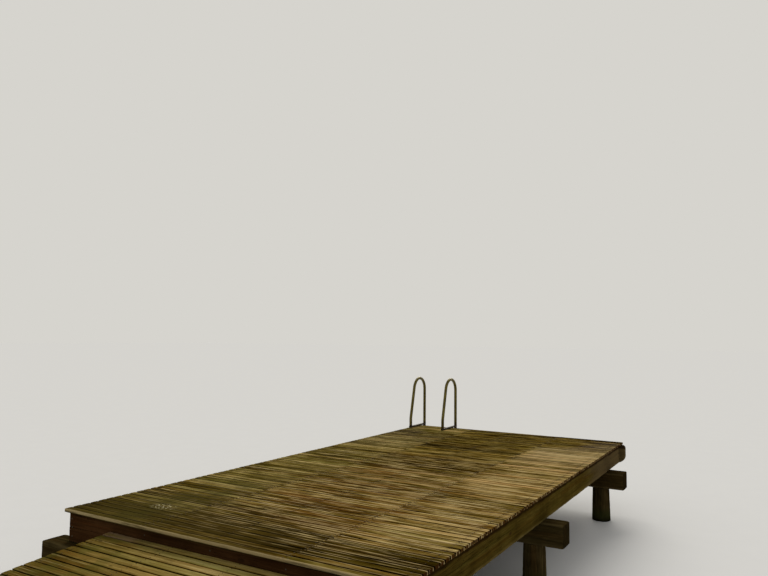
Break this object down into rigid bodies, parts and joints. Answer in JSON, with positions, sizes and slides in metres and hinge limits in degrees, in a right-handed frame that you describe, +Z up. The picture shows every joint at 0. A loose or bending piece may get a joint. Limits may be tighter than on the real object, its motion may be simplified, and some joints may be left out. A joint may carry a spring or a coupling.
{
  "type": "wooden jetty",
  "caption": "Boarded wooden bathing jetty on piled bents, with a sloping gangway one step lower and a bent-tube swimming ladder at the far corner.",
  "frame": {"origin": "middle of the footprint, at water level, which is the lowest point of the piles, posts and ladder legs", "axes": "+X across the jetty to the right, +Y out from the shore towards the ladder, +Z up"},
  "size_m": [3.375, 10.1153, 1.5997],
  "materials": {
    "platform_boards": "weathered, rough, grey-brown",
    "gangway_boards": "weathered, rough, paler grey-brown",
    "frame_timber": "weathered, rough, olive-brown",
    "pile_timber": "damp, dark brown",
    "ladder_steel": "dull, weathered"
  },
  "bodies": {
    "root": {"deck_left_near": "platform_boards", "deck_left_far": "platform_boards", "deck_middle_near": "platform_boards", "deck_middle_far": "platform_boards", "deck_right_near": "platform_boards", "deck_right_far": "platform_boards", "side_beam_left": "frame_timber", "side_beam_right": "frame_timber", "near_beam": "frame_timber", "far_beam": "frame_timber", "inner_beam_1": "frame_timber", "inner_beam_2": "frame_timber", "inner_beam_3": "frame_timber", "near_cap": "pile_timber", "middle_cap": "pile_timber", "far_cap": "pile_timber", "near_pile_left": "pile_timber", "near_pile_right": "pile_timber", "middle_pile_left": "pile_timber", "middle_pile_right": "pile_timber", "far_pile_left": "pile_timber", "far_pile_right": "pile_timber", "gangway_deck_1": "gangway_boards", "gangway_deck_2": "gangway_boards", "gangway_side_beam_left": "frame_timber", "gangway_side_beam_right": "frame_timber", "gangway_inner_beam_1": "frame_timber", "gangway_inner_beam_2": "frame_timber", "gangway_header": "frame_timber", "gangway_cap": "pile_timber", "shore_cap": "pile_timber", "gangway_post_left": "pile_timber", "gangway_post_right": "pile_timber", "shore_post_left": "pile_timber", "shore_post_right": "pile_timber", "ladder_rail_left": "ladder_steel", "ladder_rail_right": "ladder_steel", "ladder_foot_left": "ladder_steel", "ladder_foot_right": "ladder_steel", "ladder_tread_1": "ladder_steel", "ladder_tread_2": "ladder_steel", "ladder_tread_3": "ladder_steel"}
  },
  "joints": []
}
